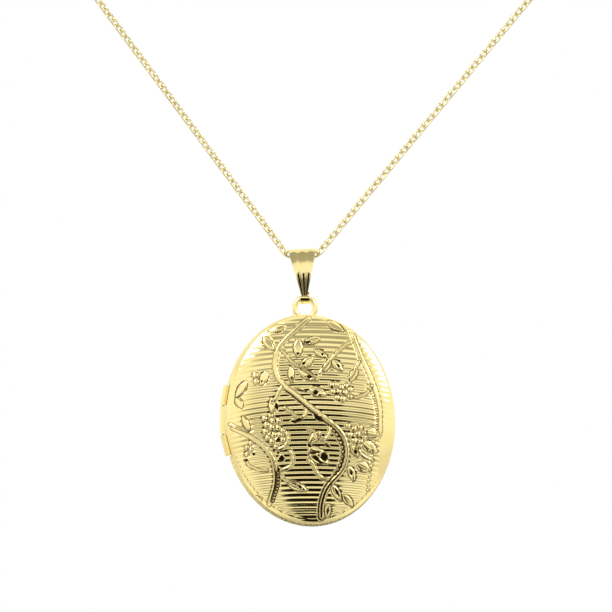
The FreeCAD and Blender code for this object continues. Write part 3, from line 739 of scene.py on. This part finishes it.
class Relief:
    """The embossing over the plain dome: its height and how much painted shade it has, point by point."""

    def __init__(self, oval, x, z):
        self.u = x - oval[0]
        self.v = z - oval[1]
        self.share = oval_share(oval, x, z)
        self.dome = dome_depth(self.share, FRONT_BAND, HALF_DEPTH)
        self.height = np.zeros_like(x)
        self.painted_shade = np.zeros_like(x)

    def spot(self, points, reach):
        """The grid points within reach of the box round these points."""
        low = np.min(points, axis=0) - reach
        high = np.max(points, axis=0) + reach
        return np.flatnonzero(
            (self.u > low[0]) & (self.u < high[0]) & (self.v > low[1]) & (self.v < high[1])
        )

    def lay(self, spot, share, height):
        """Put a new height over the old one, as far as share says."""
        self.height[spot] += share * (height - self.height[spot])

    # A groove pressed into the height, with painted shade laid along it.
    def cut(self, spot, share, depth, shade_share):
        self.height[spot] -= depth * share
        self.painted_shade[spot] = np.maximum(self.painted_shade[spot], shade_share * share)

    def ribs(self):
        amount = np.ones_like(self.u)
        for u, v, reach_u, reach_v, share in QUIET_PLACES:
            amount *= 1 - share * np.exp(-((self.u - u) / reach_u) ** 2 - ((self.v - v) / reach_v) ** 2)
        vine = curved(RIGHT_VINE)
        rising = vine[::-1][VINE_HOOK_POINTS:]
        edge = np.interp(self.v, rising[:, 1], rising[:, 0])
        outside = smooth(self.u - edge, *RIB_OUTSIDE_FADE)
        amount *= 1 - outside * (1 - (1 - RIB_OUTSIDE_LEFT) * smooth(self.v, *RIB_OUTSIDE_RISE))
        amount *= smooth(1 - self.share, *RIB_RIM_FADE)
        amount *= RIB_UPPER + (RIB_LOWER - RIB_UPPER) * smooth(-self.v, *RIB_DEEPEN)
        bow = RIB_ARCH * self.u ** 2 + RIB_ARCH_FOURTH * self.u ** 4
        self.height += RIB_HEIGHT * amount * np.sin(2 * math.pi * (self.v + bow) / RIB_PITCH)

    def band(self, points, half_width, height, shadow_side=0):
        """A raised ribbon, hollow along its middle, with a cut line of painted shade each side, one of them
        deep with a darker painted shadow.
        """
        path = curved(points)
        spot = self.spot(path, half_width + BAND_MARGIN)
        signed = along_path(self.u[spot], self.v[spot], path)
        off = np.abs(signed)
        top = 1 - smooth(off, half_width - EDGE, half_width)
        hollowed = 1 - VINE_DIP + VINE_DIP * np.clip(off / half_width, 0, 1) ** 2
        self.lay(spot, top, height * hollowed)
        self.cut(spot, line_beside(off - half_width, VINE_LINE), GROOVE, VINE_SHADE)
        # A darker painted shadow in a wider cut on one side.
        shadow_cut = line_beside(off - half_width, SHADOW_LINE) * (signed * shadow_side > 0)
        shadow_cut *= 1 - smooth(self.v[spot], SHADOW_BELOW - SHADOW_FADE, SHADOW_BELOW)
        self.cut(spot, shadow_cut, GROOVE, PAINTED_SHADOW)

    def leaf(self, base_u, base_v, tip_u, tip_v, half_width):
        """A smooth almond leaf with one crease down its middle and painted shade in the cut line round its
        edge.
        """
        length = math.hypot(tip_u - base_u, tip_v - base_v)
        way = ((tip_u - base_u) / length, (tip_v - base_v) / length)
        spot = self.spot([(base_u, base_v), (tip_u, tip_v)], half_width + LEAF_MARGIN)
        du, dv = self.u[spot] - base_u, self.v[spot] - base_v
        along = (du * way[0] + dv * way[1]) / length
        across = dv * way[0] - du * way[1]
        inner = np.clip(along, LEAF_TIP, 1 - LEAF_TIP)
        width = half_width * np.sin(math.pi * inner ** LEAF_FULLEST) ** LEAF_BLUNT
        off = np.abs(across) / np.maximum(width, LEAF_LEAST_WIDTH)
        inside = (1 - smooth(off, LEAF_STEP, 1.0)) * (along > 0) * (along < 1)
        crown = LEAF_EDGE_RISE + (1 - LEAF_EDGE_RISE) * (1 - off ** 2)
        crease = np.exp(-(across / CREASE_WIDTH) ** 2)
        self.lay(spot, inside, LEAF_HEIGHT * crown - CREASE * crease)
        nearby = (along > -LEAF_OVERRUN) * (along < 1 + LEAF_OVERRUN)
        self.cut(spot, line_beside(off * width - width, LEAF_LINE) * nearby, GROOVE, LEAF_SHADE)

    def berry(self, u, v, radius, shade_share=BERRY_SHADE):
        """A low round bead in a cut ring of painted shade."""
        spot = self.spot([(u, v)], radius + BERRY_MARGIN)
        off = np.hypot(self.u[spot] - u, self.v[spot] - v)
        body = BERRY_BASE + BERRY_RISE * radius * (1 - (off / radius) ** 2)
        self.lay(spot, 1 - smooth(off, BERRY_STEP * radius, radius), body)
        self.cut(spot, line_beside(off - radius, BERRY_LINE), GROOVE, shade_share)

    def hollow(self, u, v, half_width, half_height, turn):
        """A small facet let into the leafwork, leaning to face down, and coloured with painted shade."""
        reach = max(half_width, half_height)
        spot = self.spot([(u, v)], reach + HOLLOW_MARGIN)
        du, dv = self.u[spot] - u, self.v[spot] - v
        angle = math.radians(turn)
        across = du * math.cos(angle) + dv * math.sin(angle)
        along = -du * math.sin(angle) + dv * math.cos(angle)
        powers = np.abs(across / half_width) ** POINTED + np.abs(along / half_height) ** POINTED
        off = powers ** (1 / POINTED)
        centre = spot[np.argmin(off)]
        facet = HOLLOW_BASE + HOLLOW_LEAN * dv - (self.dome[spot] - self.dome[centre])
        inside = 1 - smooth(off, HOLLOW_STEP, 1.0)
        self.lay(spot, inside, facet)
        # Painted shade over the facet.
        self.painted_shade[spot] = np.maximum(self.painted_shade[spot], HOLLOW_SHADE * inside)

    def fringe(self, points, spacing, radius, shade_share):
        path = curved(points, FRINGE_STEPS)
        steps = np.hypot(*np.diff(path, axis=0).T)
        travelled = np.concatenate([[0], np.cumsum(steps)])
        for distance in np.arange(0, travelled[-1], spacing):
            u = float(np.interp(distance, travelled, path[:, 0]))
            v = float(np.interp(distance, travelled, path[:, 1]))
            self.berry(u, v, radius, shade_share)

    def rim_line(self):
        """The stepped border round the lower edge, with a half painted shade in its line."""
        angle = np.degrees(np.arctan2(self.v, self.u))
        comes_in, goes_out = RIM_LINE_ANGLES
        where = smooth(angle, *comes_in) * (1 - smooth(angle, *goes_out))
        line = np.exp(-((self.share - RIM_LINE_SHARE) / RIM_LINE_WIDTH) ** 2)
        self.cut(slice(None), line * where, RIM_LINE_DEPTH, RIM_LINE_SHADE)


def line_beside(outward, line):
    """How strongly a line beside an edge shows, at a distance outward from that edge."""
    return np.exp(-((outward - line[0]) / line[1]) ** 2)


def along_path(u, v, path):
    """Distance to a path, signed by the side."""
    nearest = np.full(u.shape, 1e9)
    side = np.ones_like(u)
    for (u0, v0), (u1, v1) in zip(path, path[1:]):
        du, dv = u1 - u0, v1 - v0
        share = np.clip(((u - u0) * du + (v - v0) * dv) / max(du * du + dv * dv, 1e-9), 0, 1)
        off_u, off_v = u - u0 - du * share, v - v0 - dv * share
        square = off_u ** 2 + off_v ** 2
        closer = square < nearest
        nearest[closer] = square[closer]
        side[closer] = np.sign(du * off_v - dv * off_u)[closer]
    return np.sqrt(nearest) * side


def vine_relief(oval, x, z):
    relief = Relief(oval, x, z)
    relief.ribs()
    relief.rim_line()
    for leaf in LEAVES:
        relief.leaf(*leaf)
    for stem in STEMS:
        relief.band(stem, STEM_HALF_WIDTH, STEM_HEIGHT)
    for vine, shadow_side in ((MAIN_VINE, -1), (RIGHT_VINE, 0), (LEFT_VINE, 0)):
        relief.band(vine, VINE_HALF_WIDTH, VINE_HEIGHT, shadow_side)
    for fringe in FRINGES:
        relief.fringe(*fringe)
    for berry in BERRIES:
        relief.berry(*berry)
    for hollow in HOLLOWS:
        relief.hollow(*hollow)
    # The relief's height and its painted shade both fade in from the rim.
    fade = smooth(1 - relief.share, 0.0, RIM_FADE)
    return relief.height * fade, relief.painted_shade * fade


# ---- bail and top ring --------------------------------------------------------------------------

def bail_section():
    """The bail's side section from the front foot over the arch: (y, z, outward y, outward z)."""
    heights = [z for z, _ in reversed(BAIL_LEAN)]
    leans = [lean for _, lean in reversed(BAIL_LEAN)]
    top_z, top_lean = BAIL_LEAN[0]
    first = math.radians(top_lean)
    y = BAIL_ARCH * math.cos(first)
    fall = (top_z - BAIL_FOOT_Z) / BAIL_LEG_STEPS
    leg = []
    for step in range(BAIL_LEG_STEPS):
        z = top_z - fall * (step + 1)
        lean = math.radians(float(np.interp(z + fall / 2, heights, leans)))
        y += fall * math.tan(lean)
        leg.append((y, z, math.cos(lean), math.sin(lean)))
    leg.reverse()
    arch = []
    for step in range(BAIL_ARCH_STEPS + 1):
        angle = first + (math.pi - 2 * first) * step / BAIL_ARCH_STEPS
        across, up = math.cos(angle), math.sin(angle)
        arch.append((BAIL_ARCH * across, BAIL_ARCH * up, across, up))
    mirrored = [(-y, z, -across, up) for y, z, across, up in reversed(leg)]
    return [(-y, z, -across, up) for y, z, across, up in leg + arch + mirrored]


def flute(across, z, half):
    """How deep the bail's flutes are pressed in; across runs from -1 to 1."""
    lobe = (across * FLUTES / 2 + FLUTES / 2) % 1.0
    bowl = 1.0 - (2.0 * lobe - 1.0) ** 2
    flute_top = FLUTE_TOP - FLUTE_BOW * (1.0 - bowl)
    start = float(smooth(np.array(flute_top - z), 0.0, FLUTE_RUN_IN))
    return FLUTE_SHARE * half * bowl * start


def make_bail():
    """The fluted strip, folded over the chain, with flat edges and a plain inner face."""
    section = bail_section()
    heights = [z for z, _ in reversed(BAIL_OUTLINE)]
    halves = [half for _, half in reversed(BAIL_OUTLINE)]
    outer, inner = [], []
    for y, z, out_y, out_z in section:
        half = float(np.interp(z, heights, halves))
        for column in range(BAIL_COLUMNS + 1):
            across = 2 * column / BAIL_COLUMNS - 1
            pressed = flute(across, z, half)
            outer.append((half * across, y - out_y * pressed, z - out_z * pressed))
            inner.append((half * across, y - out_y * BAIL_SHEET, z - out_z * BAIL_SHEET))
    wide = BAIL_COLUMNS + 1
    rows = len(section)
    count = len(outer)
    faces = []
    for row in range(rows - 1):
        for column in range(BAIL_COLUMNS):
            corner = row * wide + column
            quad = (corner, corner + 1, corner + wide + 1, corner + wide)
            faces.append(quad)
            faces.append(tuple(count + index for index in reversed(quad)))
    rim = list(range(BAIL_COLUMNS))
    rim += [row * wide + BAIL_COLUMNS for row in range(rows - 1)]
    rim += [(rows - 1) * wide + column for column in range(BAIL_COLUMNS, 0, -1)]
    rim += [row * wide for row in range(rows - 1, 0, -1)]
    for start, end in zip(rim, [*rim[1:], rim[0]]):
        faces.append((end, start, count + start, count + end))
    turn = Matrix.Rotation(-BAIL_TILT, 3, "Y")
    points = [turn @ Vector(point) + Vector((BAIL_CENTRE_X, 0, 0)) for point in outer + inner]
    loops = [rim, [count + index for index in rim]]
    gold = MATERIALS["polished_gold"]
    made = piece("bail_fluted", [tuple(p) for p in points], faces, gold, "bail", loops)
    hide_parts("bail_shell")


# ---- chain --------------------------------------------------------------------------------------

def link_mesh():
    """Points and faces of one oval link in the XZ plane, long way along X."""
    centres = []
    half = LINK_STRAIGHT / 2
    for step in range(LINK_STEPS):
        angle = 2 * math.pi * (step + 0.5) / LINK_STEPS
        out_x, out_z = math.cos(angle), math.sin(angle)
        shift = half if out_x > 0 else -half
        centres.append((shift + LINK_MEAN_RADIUS * out_x, LINK_MEAN_RADIUS * out_z, out_x, out_z))
    points = []
    for x, z, out_x, out_z in centres:
        for side in range(LINK_SIDES):
            turn = 2 * math.pi * side / LINK_SIDES
            reach = LINK_WIRE * math.cos(turn)
            points.append((x + out_x * reach, LINK_WIRE * math.sin(turn), z + out_z * reach))
    faces = []
    for step in range(LINK_STEPS):
        here, after = step * LINK_SIDES, (step + 1) % LINK_STEPS * LINK_SIDES
        for side in range(LINK_SIDES):
            beside = (side + 1) % LINK_SIDES
            faces.append((here + side, here + beside, after + beside, after + side))
    return np.array(points), faces


def chain_links(start, headings, first_index, way):
    """Points and faces of a row of links, as the CAD lays them."""
    pattern, pattern_faces = link_mesh()
    points, faces = [], []
    here = Vector(start)
    for offset, heading in enumerate(headings):
        angle = math.radians(heading)
        direction = Vector((way * math.cos(angle), 0, math.sin(angle)))
        middle = here + direction * (LINK_PITCH / 2)
        quarter = math.pi / 2 if (first_index + offset) % 2 == 0 else 0.0
        turn = Matrix.Rotation(-way * angle, 3, "Y") @ Matrix.Rotation(quarter - LINK_ROLL, 3, "X")
        placed = pattern @ np.array(turn).T + np.array(middle)
        faces += [tuple(index + len(points) * len(pattern) for index in face) for face in pattern_faces]
        points.append(placed)
        here = here + direction * LINK_PITCH
    return np.concatenate(points), faces


def route_points(route, name):
    """Points along the smooth spline that follows a strand's route."""
    curve = bpy.data.curves.new(name, "CURVE")
    curve.dimensions = "3D"
    spline = curve.splines.new("NURBS")
    spline.points.add(len(route) - 1)
    for point, (x, z) in zip(spline.points, route):
        point.co = (*place(x, 0, z), 1)
    spline.order_u = ROUTE_ORDER
    spline.use_endpoint_u = True
    spline.resolution_u = ROUTE_STEPS
    holder = bpy.data.objects.new(name, curve)
    bpy.context.collection.objects.link(holder)
    line = bpy.data.meshes.new_from_object(holder)
    path = [tuple(vertex.co) for vertex in line.vertices]
    bpy.data.objects.remove(holder)
    bpy.data.meshes.remove(line)
    bpy.data.curves.remove(curve)
    return path


def make_chain():
    gold = MATERIALS["chain_gold"]
    half_run = LINK_PITCH * BAIL_LINKS / 2
    points, faces = chain_links((-half_run, 0, 0), [0.0] * BAIL_LINKS, 1, 1)
    run = piece("bail_run_links", points, faces, gold, "chain")
    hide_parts("chain_bail_links")
    nodes = frame["nodes"]
    left_fittings = [nodes[name] for name in LEFT_FITTINGS]
    left_fittings.append(make_spring())
    right_fittings = [nodes[name] for name in RIGHT_FITTINGS]
    for side, way, angle, count, route, fittings in (
        ("left", -1, LEFT_ANGLE, LEFT_LINKS, LEFT_ROUTE, left_fittings),
        ("right", 1, RIGHT_ANGLE, RIGHT_LINKS, RIGHT_ROUTE, right_fittings),
    ):
        points, faces = chain_links((way * half_run, 0, 0), [angle / 2] + [angle] * count, 0, way)
        strand = piece(f"{side}_strand_links", points, faces, gold, "chain")
        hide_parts(f"chain_{side}_strand")
        route_points(route, f"{side}_route")


def make_spring():
    """The clasp's coil spring, wound round the curved centreline of its tube."""
    steps = SPRING_TURNS * SPRING_STEPS
    rise = math.radians(LEFT_ANGLE)
    far_side = Vector((-math.cos(rise), 0, math.sin(rise)))
    centre = Vector((CLASP_CENTRE[0], 0, CLASP_CENTRE[1]))
    low, high = (math.radians(limit) for limit in CLASP_SPRING_ARC)

    def outward(share):
        """The clasp's arcs run about -Y from its far side."""
        return Matrix.Rotation(-low - (high - low) * share, 3, "Y") @ far_side

    def coil_point(share):
        wind = 2 * math.pi * SPRING_TURNS * share
        lift = Vector((0, SPRING_RADIUS * math.sin(wind), 0))
        return centre + outward(share) * (CLASP_RADIUS + SPRING_RADIUS * math.cos(wind)) + lift

    points, faces = [], []
    for step in range(steps + 1):
        share = step / steps
        here = coil_point(share)
        before, after = coil_point(share - SPRING_STEP_AHEAD), coil_point(share + SPRING_STEP_AHEAD)
        ahead = (after - before).normalized()
        side_way = ahead.cross(Vector((0, 1, 0))).normalized()
        up_way = ahead.cross(side_way)
        for side in range(SPRING_SIDES):
            turn = 2 * math.pi * side / SPRING_SIDES
            points.append(tuple(here + (side_way * math.cos(turn) + up_way * math.sin(turn)) * SPRING_WIRE))
    for step in range(steps):
        first, second = step * SPRING_SIDES, (step + 1) * SPRING_SIDES
        for side in range(SPRING_SIDES):
            beside = (side + 1) % SPRING_SIDES
            faces.append((first + side, second + side, second + beside, first + beside))
    faces.append(tuple(range(SPRING_SIDES)))
    faces.append(tuple(reversed(range(steps * SPRING_SIDES, (steps + 1) * SPRING_SIDES))))
    spring = piece("clasp_coil", points, faces, MATERIALS["spring_steel"], None)
    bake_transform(spring)
    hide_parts("clasp_spring")
    return spring


# ---- the whole object ---------------------------------------------------------------------------

NODE_FINISH = {
    "satin_gold": ("back_liner", "front_liner"),
    "hinge_pin_gold": ("hinge_pin",),
    "clear_window": ("back_window", "front_window"),
    "blank_card": ("back_photo_card", "front_photo_card"),
}


def dress_nodes():
    """Every CAD node that still shows gets a procedural material."""
    finish_of = {node: slot for slot, nodes in NODE_FINISH.items() for node in nodes}
    for name, node in frame["nodes"].items():
        material = MATERIALS[finish_of.get(name, "polished_gold")]
        node.data.materials.clear()
        node.data.materials.append(material)


def make_locket():
    back = half_cover("back_half", BACK_OVAL, BACK, BACK_BAND, BACK_DOME_WALL, BACK_CELLS)
    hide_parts("back_cover", "back_hinge_bearer")
    cells = FRONT_CELLS
    front = half_cover("front_half", FRONT_OVAL, FRONT, FRONT_BAND, FRONT_DOME_WALL, cells, vine_relief)
    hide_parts("front_cover", "front_hinge_bearer")


bpy.context.scene.view_settings.view_transform = "Standard"
make_camera()
MATERIALS = make_materials()
make_chain()
make_bail()
make_locket()
dress_nodes()
make_world()
make_floor()
make_lights()
